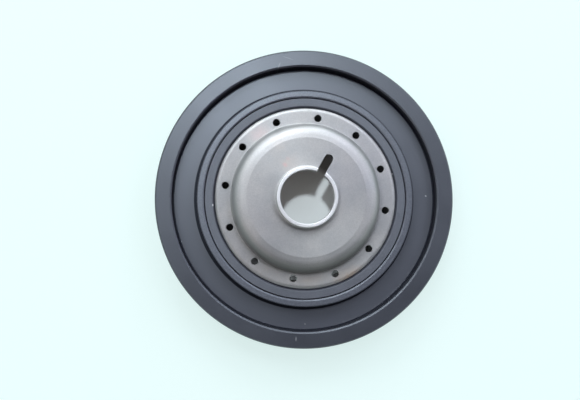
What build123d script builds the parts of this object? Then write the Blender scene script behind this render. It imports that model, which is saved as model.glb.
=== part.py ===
from build123d import *
from math import atan2, cos, radians, tan
import os

# Harmonic balancer for the nose of a crankshaft. All sizes are in millimetres.
# A steel hub sits in a ring of rubber, which sits in a heavy pulley ring. The rubber lets the
# ring lag behind the hub, and that damps the twisting of the crankshaft.
# The crankshaft's axis is Z. z = 0 is the rear face of the pulley ring, which the part rests on,
# and +Z points out of the hub's collar. The key slot lies along +Y.

# Pulley ring: one iron casting, turned all over, with a poly-V belt track round it.
ring_r = 86.0
ring_width = 28.0
rim_face_width = 9.5
recess_depth = 7.5
inner_lip_width = 4.0
inner_lip_stand = 2.5
inner_lip_rear_set_back = 2.0
rear_rim_width = 11.0
rear_recess_depth = 5.0
rear_recess_draft = 1.0
outer_edge_chamfer = 0.9
rim_inner_chamfer = 0.5
lip_outer_chamfer = 0.3
lip_inner_chamfer = 0.5

# Belt track: V grooves between two plain shoulders, which stand over the ribs.
groove_count = 6
groove_pitch = 3.56
groove_angle = 40.0
rib_flat = 0.7
root_flat = 0.75
shoulder_stand = 1.0
shoulder_slope = 0.9

# Hub: a cup drawn from one sheet of steel, with a raised dome and a turned-down edge.
hub_r = 51.8
sheet = 2.8
flange_stand = 3.0
flange_width = 9.2
flange_edge_r = 2.1
skirt_length = 26.0
dome_rise = 10.0
dome_wall_lean = 1.4
dome_foot_bend_r = 0.6
dome_shoulder_r = 7.6

# Bore and collar: the edge of the bore is drawn up into a thinner tube.
bore_r = 15.0
bore_entry_r = 2.0
collar_wall = 1.9
collar_rise = 5.0
collar_foot_bend_r = 1.0
collar_outer_chamfer = 0.6
collar_inner_chamfer = 0.4

# Key slot, cut through the collar and the top of the dome.
slot_width = 5.0
slot_reach = 27.3

# Small holes through the flange.
hole_count = 12
hole_r = 2.0
hole_inset = 5.6
first_hole_angle = 20.7

# Rubber ring, pressed in between the hub's skirt and the pulley ring.
rubber_thickness = 6.1
rubber_rear_set_back = 1.0
rubber_crown_drop = 0.3
rubber_crown_chamfer = 0.4
rubber_groove_depth = 2.4
rubber_inner_groove = 1.1
rubber_outer_groove = 1.2

# Heights that the pieces share.
rim_z = ring_width
recess_z = rim_z - recess_depth
inner_lip_z = rim_z + inner_lip_stand
flange_z = rim_z + flange_stand
flange_under_z = flange_z - sheet
dome_z = flange_z + dome_rise
dome_under_z = dome_z - sheet
collar_z = dome_z + collar_rise
skirt_end_z = flange_z - skirt_length
crown_z = inner_lip_z - rubber_crown_drop

# Radii that the pieces share.
ring_bore_r = hub_r + rubber_thickness
inner_lip_r = ring_bore_r + inner_lip_width
recess_r = ring_r - rim_face_width
rear_rim_r = ring_r - rear_rim_width
rib_r = ring_r - shoulder_stand
skirt_r = hub_r - sheet
hole_circle_r = hub_r - hole_inset
dome_foot_r = hub_r - flange_width
dome_top_r = dome_foot_r - dome_wall_lean
collar_r = bore_r + collar_wall

# The dome's wall leans in, so its inner skin is the outer one moved in by the sheet's thickness,
# measured square to the wall.
dome_draft = atan2(dome_wall_lean, dome_rise)
skin_shift = sheet * (1 / cos(dome_draft) - tan(dome_draft))
dome_foot_inner_r = dome_foot_r - skin_shift
dome_top_inner_r = dome_top_r - skin_shift

# Belt track, centred on the width of the ring.
track_width = groove_count * groove_pitch
track_low_z = (ring_width - track_width) / 2
track_high_z = (ring_width + track_width) / 2
groove_mouth = groove_pitch - rib_flat
groove_depth = (groove_mouth - root_flat) / 2 / tan(radians(groove_angle / 2))


def corner(profile, r, z):
    """Find the corner of a flat profile that lies at radius r and height z."""
    return profile.vertices().sort_by_distance((r, z))[0]


# Pulley ring: half of its section, turned once round the axis.
with BuildPart() as pulley_ring:
    with BuildSketch(Plane.XZ) as ring_profile:
        with BuildLine():
            Polyline(
                (recess_r, rim_z),
                (ring_r, rim_z),
                (ring_r, track_high_z + shoulder_slope),
                (rib_r, track_high_z),
                (rib_r, track_low_z),
                (ring_r, track_low_z - shoulder_slope),
                (ring_r, 0),
                (rear_rim_r, 0),
                (rear_rim_r - rear_recess_draft, rear_recess_depth),
                (inner_lip_r + rear_recess_draft, rear_recess_depth),
                (inner_lip_r, inner_lip_rear_set_back),
                (ring_bore_r, inner_lip_rear_set_back),
                (ring_bore_r, inner_lip_z),
                (inner_lip_r, inner_lip_z),
                (inner_lip_r, recess_z),
                (recess_r, recess_z),
                close=True,
            )
        make_face()
        with Locations((rib_r - groove_depth / 2, ring_width / 2)):
            with GridLocations(groove_pitch, groove_pitch, 1, groove_count):
                Trapezoid(
                    groove_mouth,
                    groove_depth,
                    90 - groove_angle / 2,
                    rotation=90,
                    mode=Mode.SUBTRACT,
                )
        chamfer(corner(ring_profile, recess_r, rim_z), rim_inner_chamfer)
        chamfer(corner(ring_profile, ring_r, rim_z), outer_edge_chamfer)
        chamfer(corner(ring_profile, ring_r, 0), outer_edge_chamfer)
        chamfer(corner(ring_profile, inner_lip_r, inner_lip_z), lip_outer_chamfer)
        chamfer(corner(ring_profile, ring_bore_r, inner_lip_z), lip_inner_chamfer)
    revolve(axis=Axis.Z)
pulley_ring.part.label = "pulley_ring"

# Rubber ring: bonded all along the hub's skirt and the pulley ring's bore. Its free front edge is
# a crown between two grooves, and its rear edge is flat.
with BuildPart() as rubber_ring:
    with BuildSketch(Plane.XZ) as rubber_profile:
        with BuildLine():
            Polyline(
                (hub_r, skirt_end_z + rubber_rear_set_back),
                (ring_bore_r, skirt_end_z + rubber_rear_set_back),
                (ring_bore_r, crown_z - rubber_groove_depth),
                (ring_bore_r - rubber_outer_groove, crown_z),
                (hub_r + rubber_inner_groove, crown_z),
                (hub_r, crown_z - rubber_groove_depth),
                close=True,
            )
        make_face()
        chamfer(rubber_profile.vertices().group_by(Axis.Y)[-1], rubber_crown_chamfer)
    revolve(axis=Axis.Z)
rubber_ring.part.label = "rubber_ring"

# Hub: half of the drawn sheet's section, turned once round the axis, then slotted and drilled.
with BuildPart() as hub:
    with BuildSketch(Plane.XZ) as hub_profile:
        with BuildLine():
            Polyline(
                (bore_r, collar_z),
                (collar_r, collar_z),
                (collar_r, dome_z),
                (dome_top_r, dome_z),
                (dome_foot_r, flange_z),
                (hub_r, flange_z),
                (hub_r, skirt_end_z),
                (skirt_r, skirt_end_z),
                (skirt_r, flange_under_z),
                (dome_foot_inner_r, flange_under_z),
                (dome_top_inner_r, dome_under_z),
                (bore_r, dome_under_z),
                close=True,
            )
        make_face()
        chamfer(corner(hub_profile, bore_r, collar_z), collar_inner_chamfer)
        chamfer(corner(hub_profile, collar_r, collar_z), collar_outer_chamfer)
        fillet(corner(hub_profile, collar_r, dome_z), collar_foot_bend_r)
        fillet(corner(hub_profile, bore_r, dome_under_z), bore_entry_r)
        fillet(corner(hub_profile, dome_top_r, dome_z), dome_shoulder_r)
        fillet(corner(hub_profile, dome_top_inner_r, dome_under_z), dome_shoulder_r - sheet)
        fillet(corner(hub_profile, dome_foot_r, flange_z), dome_foot_bend_r)
        fillet(corner(hub_profile, dome_foot_inner_r, flange_under_z), dome_foot_bend_r + sheet)
        fillet(corner(hub_profile, hub_r, flange_z), flange_edge_r)
    revolve(axis=Axis.Z)
    with BuildSketch(Plane.XY.offset(dome_under_z)):
        with Locations((0, slot_reach / 2 - slot_width / 4)):
            Rectangle(slot_width, slot_reach - slot_width / 2)
        with Locations((0, slot_reach - slot_width / 2)):
            Circle(slot_width / 2)
    extrude(amount=sheet + collar_rise, mode=Mode.SUBTRACT)
    with Locations((0, 0, flange_z)):
        with PolarLocations(hole_circle_r, hole_count, start_angle=first_hole_angle):
            Hole(hole_r, depth=sheet)
hub.part.label = "hub"

os.makedirs("parts", exist_ok=True)
export_step(hub.part, "parts/hub.step")
export_step(rubber_ring.part, "parts/rubber_ring.step")
export_step(pulley_ring.part, "parts/pulley_ring.step")
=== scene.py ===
from math import ceil, cos, pi, radians, sin, tan

import bmesh
import bpy
from mathutils import Matrix, Vector


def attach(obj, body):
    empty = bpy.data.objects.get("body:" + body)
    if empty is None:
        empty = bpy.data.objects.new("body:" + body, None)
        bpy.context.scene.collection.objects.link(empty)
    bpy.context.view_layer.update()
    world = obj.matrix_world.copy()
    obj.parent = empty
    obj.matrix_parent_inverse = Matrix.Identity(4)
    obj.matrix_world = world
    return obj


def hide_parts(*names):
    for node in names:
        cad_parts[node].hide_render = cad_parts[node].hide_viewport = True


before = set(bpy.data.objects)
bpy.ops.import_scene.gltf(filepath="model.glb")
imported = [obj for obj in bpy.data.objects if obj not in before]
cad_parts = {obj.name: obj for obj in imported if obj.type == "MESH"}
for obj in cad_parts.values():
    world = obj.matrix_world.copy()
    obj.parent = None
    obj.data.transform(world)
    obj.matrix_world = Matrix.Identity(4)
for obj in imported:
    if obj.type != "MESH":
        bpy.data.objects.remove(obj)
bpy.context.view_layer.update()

# --- Pulley ring -------------------------------------------------------------------------------
# The heavy outer ring of the damper: one iron casting, turned all over on a lathe, with a poly-V
# belt track round it and a channel in its front. It is sprayed slate grey. The coat is thin and
# speckled on the inner lip. The dark lines in the channel, at the feet of the rim and the lip and
# along the lip's outer edge, are partly dirt and partly painted shade.

MM = 0.001
AROUND = 288
WIDE_ARC_STEP = radians(8)
SMALL_ARC_STEP = radians(16)
SMALL_ROUNDING = 1.0
EDGE_LOOP = 0.15
SHARP = radians(30)


def rounded(corners):
    """Round the corners of a closed outline of (radius, height, rounding), in millimetres."""
    arcs = []
    for index, (r, z, rounding) in enumerate(corners):
        here = Vector((r, z))
        back = (Vector(corners[index - 1][:2]) - here).normalized()
        ahead = (Vector(corners[(index + 1) % len(corners)][:2]) - here).normalized()
        half = back.angle(ahead) / 2
        centre = here + (back + ahead).normalized() * rounding / sin(half)
        start = (here + back * rounding / tan(half) - centre).normalized()
        end = (here + ahead * rounding / tan(half) - centre).normalized()
        arc_step = WIDE_ARC_STEP if rounding > SMALL_ROUNDING else SMALL_ARC_STEP
        steps = max(2, ceil((pi - 2 * half) / arc_step))
        arcs.append([centre + start.slerp(end, step / steps) * rounding
                     for step in range(steps + 1)])
    outline = []
    for index, arc in enumerate(arcs):
        outline += arc
        gap = arcs[(index + 1) % len(arcs)][0] - arc[-1]
        if gap.length > 4 * EDGE_LOOP:
            outline.append(arc[-1] + gap.normalized() * EDGE_LOOP)
            outline.append(arc[-1] + gap - gap.normalized() * EDGE_LOOP)
    return outline


def turned(name, corners):
    """Turn a rounded outline once round Z."""
    outline = rounded(corners)
    mesh = bpy.data.meshes.new(name)
    verts = []
    for turn in range(AROUND):
        angle = 2 * pi * turn / AROUND
        verts += [(p.x * cos(angle) * MM, p.x * sin(angle) * MM, p.y * MM) for p in outline]
    count = len(outline)
    faces = []
    for turn in range(AROUND):
        here, there = turn * count, (turn + 1) % AROUND * count
        for k in range(count):
            ahead = (k + 1) % count
            faces.append((here + k, here + ahead, there + ahead, there + k))
    mesh.from_pydata(verts, [], faces)
    smooth(mesh)
    piece = bpy.data.objects.new(name, mesh)
    bpy.context.scene.collection.objects.link(piece)
    return piece


def smooth(mesh):
    """Turn the faces outwards and shade them smooth, but for the sharp edges."""
    build = bmesh.new()
    build.from_mesh(mesh)
    bmesh.ops.recalc_face_normals(build, faces=build.faces)
    build.to_mesh(mesh)
    build.free()
    mesh.shade_smooth()
    mesh.set_sharp_from_angle(angle=SHARP)


def add(tree, kind, inputs=None, **settings):
    """Add a shader node, and set or link its inputs."""
    new = tree.nodes.new("ShaderNode" + kind)
    for name, value in settings.items():
        setattr(new, name, value)
    for name, value in (inputs or {}).items():
        if isinstance(value, bpy.types.NodeSocket):
            tree.links.new(value, new.inputs[name])
        else:
            new.inputs[name].default_value = value
    return new


def finish_of(name):
    """Start a material. Returns it, its node tree, its shader and the place in space."""
    material = bpy.data.materials.new(name)
    material.use_nodes = True
    tree = material.node_tree
    surface = tree.nodes["Principled BSDF"]
    place = add(tree, "TexCoord").outputs["Object"]
    return material, tree, surface, place


def noise(tree, place, scale, detail=2.0, roughness=0.5):
    """Even noise, from 0 to 1. scale is in lumps a metre."""
    made = add(tree, "TexNoise", {"Vector": place, "Scale": scale, "Detail": detail,
                                  "Roughness": roughness})
    return made.outputs["Fac"]


def lathe_lines(tree, reach, scale):
    """Fine rings round the axis, as a tool leaves them. scale is in rings a metre."""
    made = add(tree, "TexNoise", {"W": reach, "Scale": scale, "Detail": 3.0},
               noise_dimensions="1D")
    return made.outputs["Fac"]


def ramp(tree, value, low, high, start=0.0, end=1.0):
    """Map value from low..high to start..end, and stop there."""
    made = add(tree, "MapRange", {"Value": value, "From Min": low, "From Max": high,
                                  "To Min": start, "To Max": end})
    return made.outputs["Result"]


def times(tree, a, b):
    return add(tree, "Math", {0: a, 1: b}, operation="MULTIPLY").outputs[0]


def plus(tree, a, b):
    return add(tree, "Math", {0: a, 1: b}, operation="ADD").outputs[0]


def larger(tree, a, b):
    return add(tree, "Math", {0: a, 1: b}, operation="MAXIMUM").outputs[0]


def band(tree, value, starts, full, fades, ends):
    """1 from full to fades and 0 before starts and after ends, all in millimetres."""
    return times(tree, ramp(tree, value, starts * MM, full * MM),
                 ramp(tree, value, ends * MM, fades * MM))


def blend(tree, amount, a, b):
    """Mix two colours."""
    made = add(tree, "Mix", {0: amount, 6: a, 7: b}, data_type="RGBA")
    return made.outputs[2]


def from_axis(tree, place):
    """Distance from the Z axis, in metres."""
    flat = add(tree, "VectorMath", {0: place, 1: (1, 1, 0)}, operation="MULTIPLY").outputs[0]
    return add(tree, "VectorMath", {0: flat}, operation="LENGTH").outputs["Value"]


def height_of(tree, place):
    """Height over the bench, in metres."""
    return add(tree, "SeparateXYZ", {0: place}).outputs["Z"]


def from_spot(tree, place, x, y, long, wide, turn):
    """Distance from (x, y), as a share of an ellipse long by wide. Millimetres and degrees."""
    here = add(tree, "Mapping", {"Vector": place, "Location": (x * MM, y * MM, 0),
                                 "Rotation": (0, 0, radians(turn)),
                                 "Scale": (long * MM, wide * MM, 1)}, vector_type="TEXTURE")
    return from_axis(tree, here.outputs[0])


def mark(tree, place, x, y, long, wide, turn):
    """A soft-edged mark: 1 well inside its ellipse, 0 outside it."""
    return ramp(tree, from_spot(tree, place, x, y, long, wide, turn), 1.0, 0.5)


RING_R = 86.0
RIB_R = 85.0
RIM_Z = 28.0
RIM_EDGE = 0.9
REAR_EDGE_R = 75.0
REAR_RECESS_R = 74.0
REAR_RECESS_Z = 5.0
REAR_LIP_Z = 2.0
RECESS_Z = 20.5
RECESS_R = 76.5
LIP_Z = 30.5
LIP_R = 61.9
BORE_R = 57.9
GROOVES = 6
PITCH = 3.56
GROOVE_MOUTH = 2.86
GROOVE_ROOT = 0.75
GROOVE_ROOT_R = 82.1
SHOULDER_SLOPE = 0.9

track_z = RIM_Z / 2
track_half = GROOVES * PITCH / 2
track = []
for groove in range(GROOVES):
    middle = track_z + (GROOVES / 2 - 0.5 - groove) * PITCH
    track += [
        (RIB_R, middle + GROOVE_MOUTH / 2, 0.2),
        (GROOVE_ROOT_R, middle + GROOVE_ROOT / 2, 0.2),
        (GROOVE_ROOT_R, middle - GROOVE_ROOT / 2, 0.2),
        (RIB_R, middle - GROOVE_MOUTH / 2, 0.2),
    ]

pulley_ring = turned("pulley_ring_turned", [
    (RECESS_R, RIM_Z - 0.45, 0.15),
    (RECESS_R + 0.85, RIM_Z, 0.3),
    (RING_R - RIM_EDGE, RIM_Z, 0.3),
    (RING_R, RIM_Z - RIM_EDGE, 0.3),
    (RING_R, track_z + track_half + SHOULDER_SLOPE, 0.25),
    (RIB_R, track_z + track_half, 0.2),
    *track,
    (RIB_R, track_z - track_half, 0.2),
    (RING_R, track_z - track_half - SHOULDER_SLOPE, 0.25),
    (RING_R, RIM_EDGE, 0.3),
    (RING_R - RIM_EDGE, 0.0, 0.3),
    (REAR_EDGE_R, 0.0, 0.5),
    (REAR_RECESS_R, REAR_RECESS_Z, 0.6),
    (LIP_R + 1.0, REAR_RECESS_Z, 0.6),
    (LIP_R, REAR_LIP_Z, 0.4),
    (BORE_R, REAR_LIP_Z, 0.3),
    (BORE_R, LIP_Z - 0.4, 0.12),
    (BORE_R + 0.7, LIP_Z, 0.25),
    (LIP_R - 0.3, LIP_Z, 0.25),
    (LIP_R, LIP_Z - 0.3, 0.25),
    (LIP_R, RECESS_Z, 0.25),
    (RECESS_R, RECESS_Z, 0.2),
])

SLATE_DARK = (0.027, 0.028, 0.037, 1)
SLATE_LIGHT = (0.038, 0.040, 0.051, 1)
RECESS_SLATE = (0.062, 0.065, 0.082, 1)
THIN_SLATE = (0.085, 0.090, 0.112, 1)
DIRT_AND_SHADE = (0.009, 0.010, 0.016, 1)
CHIPPED_IRON = (0.34, 0.35, 0.37, 1)
PAINT_GLOSS = 0.34

slate, tree, surface, place = finish_of("sprayed_slate")
reach = from_axis(tree, place)
height = height_of(tree, place)
turning = lathe_lines(tree, reach, 2600.0)
grit = noise(tree, place, 1400.0, detail=3.0, roughness=0.7)
clouds = noise(tree, place, 45.0, detail=4.0)
tone = ramp(tree, plus(tree, times(tree, clouds, 0.55), times(tree, grit, 0.45)), 0.3, 0.7)
on_lip = ramp(tree, reach, (LIP_R + 0.5) * MM, LIP_R * MM)
in_recess = ramp(tree, reach, (RECESS_R + 0.2) * MM, RECESS_R * MM)
paint = blend(tree, tone, SLATE_DARK, SLATE_LIGHT)
paint = blend(tree, times(tree, in_recess, 0.8), paint, RECESS_SLATE)
paint = blend(tree, times(tree, on_lip, ramp(tree, grit, 0.42, 0.62)), paint, THIN_SLATE)

# Darker lines at the foot of the rim's wall, on the floor beside the lip and along the lip's
# outer edge: partly dirt, partly painted shade in these corners.
rim_foot = times(tree, band(tree, reach, RECESS_R - 1.0, RECESS_R - 0.7, RECESS_R + 0.1,
                            RECESS_R + 0.4),
                 ramp(tree, height, (RIM_Z - 0.5) * MM, (RIM_Z - 0.8) * MM))
lip_foot = times(tree, band(tree, reach, LIP_R - 0.4, LIP_R - 0.1, LIP_R + 2.3, LIP_R + 2.6),
                 ramp(tree, height, (LIP_Z - 0.3) * MM, (LIP_Z - 0.6) * MM))
lip_edge = band(tree, reach, LIP_R - 0.7, LIP_R - 0.5, LIP_R + 0.1, LIP_R + 0.3)
dirt_and_shade = plus(tree, times(tree, plus(tree, rim_foot, lip_foot), 0.93), times(tree, lip_edge, 0.5))
paint = blend(tree, dirt_and_shade, paint, DIRT_AND_SHADE)

# Chips and scratches: x, y, half length, half width, turn, strength
chipped = 0.0
for x, y, long, wide, turn, strength in (
    (61.55, 36.91, 0.7, 0.5, 0, 1.0),
    (36.07, -63.22, 0.5, 0.4, 0, 0.7),
    (34.81, -72.48, 1.6, 0.35, 118, 0.6),
    (-48.69, 65.81, 4.0, 0.3, 12, 0.12),
    (-50.89, 59.13, 2.6, 0.5, 100, 0.15),
):
    chip = times(tree, mark(tree, place, x, y, long, wide, turn), strength)
    chipped = larger(tree, chipped, chip)
paint = blend(tree, chipped, paint, CHIPPED_IRON)

tree.links.new(paint, surface.inputs["Base Color"])
tree.links.new(ramp(tree, tone, 0, 1, 0.32, 0.38), surface.inputs["Roughness"])
surface.inputs["IOR"].default_value = 2.0
gloss = times(tree, ramp(tree, on_lip, 0, 1, PAINT_GLOSS - 0.01, PAINT_GLOSS + 0.01),
              ramp(tree, dirt_and_shade, 0, 1, 1, 0.08))
surface.inputs["Specular IOR Level"].default_value = PAINT_GLOSS
tree.links.new(gloss, surface.inputs["Specular IOR Level"])
surface.inputs["Specular Tint"].default_value = (0.82, 0.90, 1.0, 1)
grain = plus(tree, times(tree, grit, ramp(tree, on_lip, 0, 1, 0.35, 1.25)),
             times(tree, turning, 0.35))
bump = add(tree, "Bump", {"Height": grain, "Strength": 0.35, "Distance": 0.08 * MM})
tree.links.new(bump.outputs[0], surface.inputs["Normal"])

pulley_ring.data.materials.append(slate)
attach(pulley_ring, "root")
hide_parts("pulley_ring")

# --- Rubber ring -------------------------------------------------------------------------------
# The ring of rubber between the hub and the pulley ring, which lets them twist a little against
# each other. It is squeezed in between their walls, and its free front edge stands up as a low
# crown between two narrow grooves. Two pale specks show at its inner edge, beside burrs on the
# hub's edge.

HUB_R = 51.8
CROWN_Z = 30.2
RUBBER_REAR_Z = 6.0
GROOVE_DEPTH = 2.4

rubber_ring = turned("rubber_ring_moulded", [
    (HUB_R, RUBBER_REAR_Z, 0.3),
    (HUB_R, CROWN_Z - GROOVE_DEPTH, 0.3),
    (HUB_R + 1.1, CROWN_Z, 0.45),
    (BORE_R - 0.6, CROWN_Z, 0.3),
    (BORE_R, CROWN_Z - GROOVE_DEPTH, 0.3),
    (BORE_R, RUBBER_REAR_Z, 0.3),
])

RUBBER_DARK = (0.042, 0.044, 0.056, 1)
RUBBER_LIGHT = (0.078, 0.081, 0.101, 1)
PALE_SPECK = (0.55, 0.55, 0.56, 1)

rubber, tree, surface, place = finish_of("moulded_rubber")
skin = noise(tree, place, 1300.0, detail=3.0, roughness=0.7)
dust = noise(tree, place, 70.0, detail=4.0)
tone = ramp(tree, plus(tree, times(tree, skin, 0.6), times(tree, dust, 0.4)), 0.3, 0.7)
colour = blend(tree, tone, RUBBER_DARK, RUBBER_LIGHT)
# Two pale specks at the inner edge, beside burrs on the hub's edge.
pale_specks = plus(tree, mark(tree, place, 36.6, 36.8, 0.8, 0.45, 45),
             mark(tree, place, -43.9, -29.6, 0.8, 0.45, 120))
tree.links.new(blend(tree, pale_specks, colour, PALE_SPECK), surface.inputs["Base Color"])
tree.links.new(ramp(tree, tone, 0, 1, 0.46, 0.54), surface.inputs["Roughness"])
surface.inputs["IOR"].default_value = 1.75
surface.inputs["Specular Tint"].default_value = (0.84, 0.92, 1.0, 1)
bump = add(tree, "Bump", {"Height": skin, "Strength": 0.5, "Distance": 0.1 * MM})
tree.links.new(bump.outputs[0], surface.inputs["Normal"])

rubber_ring.data.materials.append(rubber)
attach(rubber_ring, "root")
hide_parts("rubber_ring")

# --- Hub ---------------------------------------------------------------------------------------
# The driving plate: one sheet of steel, pressed into a domed cup, with the bore's edge drawn up
# into a collar and the slot and small holes punched. It is satin outside, with a faint circular
# lay and brown stains, which along the lay's two highlight streaks also paint in their pink and
# beige tint. The dome's side is painted darker all round and its foot darker still away from the
# window, both painted shade, and the inside of the cup and the walls of the holes are painted
# near black, a painted shade. The top of the collar is lighter.

FLANGE_Z = 31.0
DOME_Z = 41.0
COLLAR_Z = 46.0
SHEET = 2.8
SKIRT_END_Z = 5.0
COLLAR_BORE_R = 15.0
COLLAR_WALL = 1.9
DOME_FOOT_R = 42.6
DOME_TOP_R = 41.2
SHOULDER_R = 33.5
SHOULDER_DROP = 1.05
SKIN_SHIFT = 2.435

hub = turned("hub_pressed", [
    (COLLAR_BORE_R, COLLAR_Z, 0.25),
    (COLLAR_BORE_R + COLLAR_WALL, COLLAR_Z, 0.4),
    (COLLAR_BORE_R + COLLAR_WALL, DOME_Z, 1.0),
    (SHOULDER_R, DOME_Z, 0.3),
    (DOME_TOP_R + 0.1, DOME_Z - SHOULDER_DROP, 7.6),
    (DOME_FOOT_R, FLANGE_Z, 0.6),
    (HUB_R, FLANGE_Z, 2.1),
    (HUB_R, SKIRT_END_Z, 0.5),
    (HUB_R - SHEET, SKIRT_END_Z, 0.5),
    (HUB_R - SHEET, FLANGE_Z - SHEET, 0.3),
    (DOME_FOOT_R - SKIN_SHIFT, FLANGE_Z - SHEET, 3.4),
    (DOME_TOP_R - SKIN_SHIFT, DOME_Z - SHEET, 4.8),
    (COLLAR_BORE_R, DOME_Z - SHEET, 2.0),
])

SLOT_WIDTH = 5.0
SLOT_REACH = 27.3
SLOT_END_STEPS = 32
HOLE_COUNT = 12
HOLE_R = 2.0
HOLE_CIRCLE_R = 46.2
HOLE_STEPS = 40
FIRST_HOLE = radians(20.7)
HOLE_FLARE = 0.25
PUNCH_OVER = 2.0
PUNCH_UNDER = 1.0


def punch(build, rings):
    """Close a stack of like rings of points into a solid punch."""
    loops = [[build.verts.new(Vector(p) * MM) for p in ring] for ring in rings]
    for low, high in zip(loops, loops[1:]):
        for k in range(len(low)):
            ahead = (k + 1) % len(low)
            build.faces.new((low[k], low[ahead], high[ahead], high[k]))
    build.faces.new(reversed(loops[0]))
    build.faces.new(loops[-1])


build = bmesh.new()
end_r = SLOT_WIDTH / 2
slot_outline = [(end_r, 0.0)]
for step in range(SLOT_END_STEPS + 1):
    angle = pi * step / SLOT_END_STEPS
    slot_outline.append((end_r * cos(angle), SLOT_REACH - end_r + end_r * sin(angle)))
slot_outline.append((-end_r, 0.0))
punch(build, [[(x, y, z) for x, y in slot_outline]
              for z in (DOME_Z - SHEET - PUNCH_OVER, COLLAR_Z + PUNCH_OVER)])
for hole in range(HOLE_COUNT):
    angle = FIRST_HOLE + 2 * pi * hole / HOLE_COUNT
    x, y = HOLE_CIRCLE_R * cos(angle), HOLE_CIRCLE_R * sin(angle)
    rings = []
    for z, r in ((FLANGE_Z - SHEET - PUNCH_UNDER, HOLE_R), (FLANGE_Z - HOLE_FLARE, HOLE_R),
                 (FLANGE_Z + HOLE_FLARE, HOLE_R + 2 * HOLE_FLARE)):
        turns = [2 * pi * k / HOLE_STEPS for k in range(HOLE_STEPS)]
        rings.append([(x + r * cos(turn), y + r * sin(turn), z) for turn in turns])
    punch(build, rings)
bmesh.ops.recalc_face_normals(build, faces=build.faces)
punches_mesh = bpy.data.meshes.new("punches")
build.to_mesh(punches_mesh)
build.free()
punches = bpy.data.objects.new("punches", punches_mesh)
bpy.context.scene.collection.objects.link(punches)

cut = hub.modifiers.new("cut", "BOOLEAN")
cut.operation = "DIFFERENCE"
cut.solver = "EXACT"
cut.object = punches
bpy.context.view_layer.update()
evaluated = hub.evaluated_get(bpy.context.evaluated_depsgraph_get())
cut_mesh = bpy.data.meshes.new_from_object(evaluated)
hub.modifiers.clear()
hub.data = cut_mesh
bpy.data.objects.remove(punches)
smooth(hub.data)

STEEL_COOL = (0.515, 0.52, 0.535, 1)
STEEL_WARM = (0.60, 0.59, 0.59, 1)
PITTED = (0.33, 0.33, 0.34, 1)
DOME_SIDE_SHADE = (0.25, 0.25, 0.25, 1)
FOOT_SHADE = (0.12, 0.11, 0.105, 1)
INSIDE_SHADE = (0.05, 0.05, 0.05, 1)
COLLAR_TOP_LIGHT = (0.93, 0.93, 0.95, 1)
AWAY_FROM_WINDOW = (0.4924, -0.8704, 0)


def along(tree, vector, direction):
    """How far a vector goes in a direction."""
    made = add(tree, "VectorMath", {0: vector, 1: direction}, operation="DOT_PRODUCT")
    return made.outputs["Value"]


steel, tree, surface, place = finish_of("satin_steel")
reach = from_axis(tree, place)
height = height_of(tree, place)
die_lines = lathe_lines(tree, reach, 3000.0)
frost = noise(tree, place, 1500.0, detail=4.0, roughness=0.75)
clouds = noise(tree, place, 60.0, detail=5.0, roughness=0.6)
colour = blend(tree, ramp(tree, clouds, 0.35, 0.65), STEEL_COOL, STEEL_WARM)
colour = blend(tree, ramp(tree, frost, 0.62, 0.38, 0.0, 0.3), colour, PITTED)

# The stains are partly real. Those along the lay's two highlight streaks also paint in the pink
# and beige tint of those highlights.
# Stains: x, y, half length, half width, turn, colour, strength
patchy = ramp(tree, clouds, 0.3, 0.6)
for x, y, long, wide, turn, stain_and_highlight_tint, strength in (
    (-21.0, 13.0, 11.0, 6.0, 150, (0.64, 0.55, 0.50, 1), 0.6),
    (-19.4, 9.6, 1.6, 1.2, 0, (0.75, 0.45, 0.45, 1), 0.8),
    (-20.4, 13.5, 1.4, 1.0, 0, (0.75, 0.47, 0.47, 1), 0.7),
    (-41.2, 19.3, 6.0, 3.5, 60, (0.72, 0.55, 0.55, 1), 0.6),
    (43.0, -27.0, 10.0, 4.5, 55, (0.62, 0.47, 0.36, 1), 1.0),
    (24.0, -40.0, 12.0, 4.0, 30, (0.55, 0.49, 0.45, 1), 0.6),
    (0.0, -46.0, 12.0, 4.0, 0, (0.54, 0.49, 0.46, 1), 0.5),
):
    fade = ramp(tree, from_spot(tree, place, x, y, long, wide, turn), 1.3, 0.0, 0.0, strength)
    colour = blend(tree, times(tree, fade, patchy), colour, stain_and_highlight_tint)

# The dome's outer slope and side are painted darker all round: painted shade.
wall = band(tree, reach, 38.5, 40.5, DOME_FOOT_R, DOME_FOOT_R + 0.6)
colour = blend(tree, times(tree, wall, 0.6), colour, DOME_SIDE_SHADE)
# The foot of the dome is painted darker still on the side away from the window: painted shade.
foot = band(tree, reach, 36.5, 39.5, DOME_FOOT_R, DOME_FOOT_R + 0.6)
away = ramp(tree, along(tree, place, AWAY_FROM_WINDOW), 10 * MM, 34 * MM)
colour = blend(tree, times(tree, times(tree, foot, away), 0.6), colour, FOOT_SHADE)
# The walls of the holes and the inner faces of the cup are painted near black: painted shade.
in_hole = times(tree, band(tree, reach, HOLE_CIRCLE_R - 2.4, HOLE_CIRCLE_R - 2.2,
                           HOLE_CIRCLE_R + 2.2, HOLE_CIRCLE_R + 2.4),
                ramp(tree, height, (FLANGE_Z - 0.3) * MM, (FLANGE_Z - 0.5) * MM))
outward = along(tree, place, add(tree, "NewGeometry").outputs["Normal"])
inside = times(tree, ramp(tree, outward, -10 * MM, -15 * MM), ramp(tree, reach, 18 * MM, 20 * MM))
colour = blend(tree, times(tree, larger(tree, in_hole, inside), 0.9), colour, INSIDE_SHADE)
# The top of the collar is made lighter steel, so that it shows as a bright ring all round.
collar_top = ramp(tree, height, (COLLAR_Z - 1.5) * MM, (COLLAR_Z - 0.5) * MM)
tree.links.new(blend(tree, collar_top, colour, COLLAR_TOP_LIGHT), surface.inputs["Base Color"])

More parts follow.
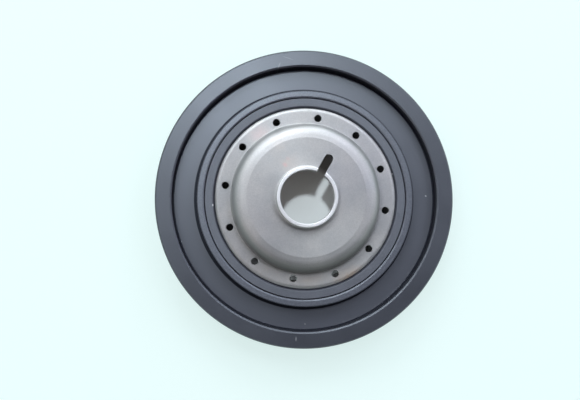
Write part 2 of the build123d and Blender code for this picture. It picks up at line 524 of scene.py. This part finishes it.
surface.inputs["Metallic"].default_value = 1.0
surface.inputs["Anisotropic"].default_value = 0.7
surface.inputs["Anisotropic Rotation"].default_value = 0.25
tree.links.new(add(tree, "Tangent", direction_type="RADIAL", axis="Z").outputs[0],
               surface.inputs["Tangent"])
tree.links.new(ramp(tree, clouds, 0.3, 0.7, 0.42, 0.48), surface.inputs["Roughness"])
lay = plus(tree, times(tree, frost, 0.5), times(tree, die_lines, 0.5))
bump = add(tree, "Bump", {"Height": lay, "Strength": 0.3, "Distance": 0.06 * MM})
tree.links.new(bump.outputs[0], surface.inputs["Normal"])

hub.data.materials.clear()
hub.data.materials.append(steel)
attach(hub, "root")
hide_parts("hub")

# --- Bench and mat -----------------------------------------------------------------------------
# The balancer lies face up on a plain pale bench. Under it lies a mat, which is what shows
# through the bore, the slot and the holes. It is pale in the middle under the bore and dark
# elsewhere, the dark being painted shade. On the side away from the window it is pale again,
# painted light seen through the holes there, and a middling ring under the slot is painted light
# and shade.

BENCH_R = 3000.0
BENCH_Z = -0.6
MAT_R = 82.0
MAT_Z = -0.3


def disc(name, radius, height):
    """A flat round of the stage, in millimetres."""
    mesh = bpy.data.meshes.new(name)
    build = bmesh.new()
    bmesh.ops.create_circle(build, cap_ends=True, radius=radius * MM, segments=96)
    for vert in build.verts:
        vert.co.z = height * MM
    build.to_mesh(mesh)
    build.free()
    made = bpy.data.objects.new(name, mesh)
    bpy.context.scene.collection.objects.link(made)
    return made


BENCH_PALE = (0.24, 0.28, 0.28, 1)
BENCH_SHOWN = (0.835, 1.0, 0.98, 1)

bench = disc("bench", BENCH_R, BENCH_Z)
pale, tree, surface, place = finish_of("pale_bench")
surface.inputs["Base Color"].default_value = BENCH_PALE
surface.inputs["Roughness"].default_value = 0.9
surface.inputs["Specular IOR Level"].default_value = 0.0
glow = add(tree, "Emission", {"Color": BENCH_SHOWN, "Strength": 0.74})
rays = add(tree, "LightPath").outputs
seen = larger(tree, larger(tree, rays["Is Camera Ray"], rays["Is Glossy Ray"]),
              rays["Is Transmission Ray"])
both = add(tree, "AddShader", {0: surface.outputs[0], 1: glow.outputs[0]})
shown = add(tree, "MixShader", {0: seen, 1: surface.outputs[0], 2: both.outputs[0]})
tree.links.new(shown.outputs[0], tree.nodes["Material Output"].inputs["Surface"])
bench.data.materials.append(pale)

PAINTED_SHADE_DARK = (0.07, 0.07, 0.07, 1)
CARD_PALE = (0.76, 0.81, 0.81, 1)
CARD_R = 20
CARD_EDGE_R = 26
SLOT_SHADE_R = 37
SLOT_SHADE_EDGE_R = 41

mat = disc("mat", MAT_R, MAT_Z)
dark, tree, surface, place = finish_of("grey_mat")
reach = from_axis(tree, place)
# Dark: painted shade. Pale far side: painted light under the holes. Middling ring: painted light
# and shade under the slot.
card = ramp(tree, reach, CARD_EDGE_R * MM, CARD_R * MM)
painted_light_far_side = ramp(tree, along(tree, place, AWAY_FROM_WINDOW), 26 * MM, 48 * MM)
slot_light_and_shade = ramp(tree, reach, SLOT_SHADE_EDGE_R * MM, SLOT_SHADE_R * MM, 0.0, 0.38)
paleness = larger(tree, larger(tree, card, painted_light_far_side), slot_light_and_shade)
tree.links.new(blend(tree, paleness, PAINTED_SHADE_DARK, CARD_PALE), surface.inputs["Base Color"])
surface.inputs["Roughness"].default_value = 0.9
surface.inputs["Specular IOR Level"].default_value = 0.1
mat.data.materials.append(dark)

# --- Light -------------------------------------------------------------------------------------
# Soft daylight from a window behind the balancer, as round panes that all face it, in a room with
# a dark ceiling and pale walls. A hazy sun draws the crisp shadows, on all but the hub, which it
# would burn out. A lamp in the cup is the little warm light that its walls throw back.

VIEW_TURN = Matrix.Rotation(radians(29.5), 4, "Z")
LAMP_DISTANCE = 2.0
LAMP_CENTRE = Vector((0, 0, 0.03))
WINDOW = (0.94, 1.0, 1.05)
BLUE_SKY = (0.93, 0.97, 1.12)
WARM = (1.0, 0.90, 0.86)
SUN_AZIMUTH = 102
SUN_ELEVATION = 75
CUP_LIGHT_SIZE = 0.024
CUP_LIGHT_Z = 0.036


def lamp(name, size, radiance, colour, stands):
    """A bright disc of an even radiance. It shines down its own Z axis."""
    light = bpy.data.lights.new(name, "AREA")
    light.shape = "DISK"
    light.size = size
    light.energy = radiance * pi * pi * size ** 2 / 4
    light.color = colour
    holder = bpy.data.objects.new(name, light)
    holder.matrix_world = stands
    holder.visible_camera = False
    bpy.context.scene.collection.objects.link(holder)
    return holder


def pane(name, azimuth, elevation, width, radiance, colour):
    """A lamp far off that faces the balancer. The angles, the width too, are in degrees as seen
    from the balancer, and the azimuth is measured from the camera's right."""
    around, up = radians(azimuth), radians(elevation)
    aim = VIEW_TURN @ Vector((cos(around) * cos(up), sin(around) * cos(up), sin(up)))
    turn = aim.to_track_quat("Z", "Y").to_matrix().to_4x4()
    stands = Matrix.Translation(aim * LAMP_DISTANCE + LAMP_CENTRE) @ turn
    size = 2 * LAMP_DISTANCE * tan(radians(width / 2))
    return lamp(name, size, radiance, colour, stands)


for azimuth, elevation, width, radiance in (
    (30, 14, 20, 1.1), (76, 14, 20, 4.4), (120, 14, 20, 2.8), (166, 14, 20, 0.7),
    (8, 36, 20, 1.7), (53, 36, 20, 4.0), (98, 36, 20, 6.4), (143, 36, 20, 2.8),
    (233, 36, 20, 0.45), (70, 47, 14, 3.8), (97, 47, 14, 4.1), (124, 47, 14, 6.7),
    (30, 55, 20, 2.9), (76, 55, 20, 1.0), (120, 55, 20, 1.8), (166, 55, 20, 0.8),
    (210, 55, 20, 1.05), (346, 55, 20, 1.15), (98, 62, 14, 1.55), (60, 66, 14, 3.05),
    (108, 66, 14, 3.1), (132, 66, 14, 1.05), (156, 66, 14, 2.8), (180, 66, 14, 3.35),
):
    colour = WINDOW
    if azimuth < 60 or azimuth > 300:
        colour = BLUE_SKY
    elif azimuth > 200:
        colour = WARM
    pane(f"pane_{azimuth}_{elevation}", azimuth, elevation, width, radiance, colour)

not_the_hub = bpy.data.collections.new("not_the_hub")
for lit in (mat, pulley_ring, rubber_ring):
    not_the_hub.objects.link(lit)
mat_only = bpy.data.collections.new("mat_only")
mat_only.objects.link(mat)

sun = pane("sun", SUN_AZIMUTH, SUN_ELEVATION, 4, 160, WINDOW)
sun.light_linking.receiver_collection = not_the_hub
sun_on_mat = pane("sun_on_mat", SUN_AZIMUTH, SUN_ELEVATION, 3, 490, WINDOW)
sun_on_mat.light_linking.receiver_collection = mat_only
light_in_cup = lamp("light_in_cup", CUP_LIGHT_SIZE, 1.2, WARM,
                    Matrix.Translation((0, 0, CUP_LIGHT_Z)))
light_in_cup.light_linking.receiver_collection = mat_only

CEILING = (1.0, 0.95, 0.96, 1)
WALL_FOOT = (0.84, 0.99, 0.98, 1)

world = bpy.data.worlds.new("room")
bpy.context.scene.world = world
world.use_nodes = True
tree = world.node_tree
room = tree.nodes["Background"]
rise = height_of(tree, add(tree, "TexCoord").outputs["Generated"])
wall_foot = ramp(tree, rise, 0.30, 0.26)
strength = plus(tree, ramp(tree, rise, 0.82, 0.92, 0.12, 0.0), times(tree, wall_foot, 0.8))
tree.links.new(strength, room.inputs["Strength"])
tree.links.new(blend(tree, wall_foot, CEILING, WALL_FOOT), room.inputs["Color"])

# --- Camera ------------------------------------------------------------------------------------
# It looks almost straight down the axis, from 400 mm above the rim and 4.75 degrees off it, so
# the near walls of the steps are hidden and the far ones show.

EYE = Vector((-0.02765, -0.01823, 0.4266))
AIM = Vector((-0.00881, -0.00103, 0.028))
SENSOR_WIDTH = 36
LENS = 43.19

back = (EYE - AIM).normalized()
right = Vector((0, 1, 0)).cross(back).normalized()
up = back.cross(right)
camera = bpy.data.cameras.new("camera")
camera.sensor_width = SENSOR_WIDTH
camera.lens = LENS
camera.clip_start = 0.01
eye = bpy.data.objects.new("camera", camera)
turn = Matrix((right, up, back)).transposed().to_4x4()
eye.matrix_world = VIEW_TURN @ Matrix.Translation(EYE) @ turn
bpy.context.scene.collection.objects.link(eye)
bpy.context.scene.camera = eye

bpy.context.scene.view_settings.view_transform = "Standard"
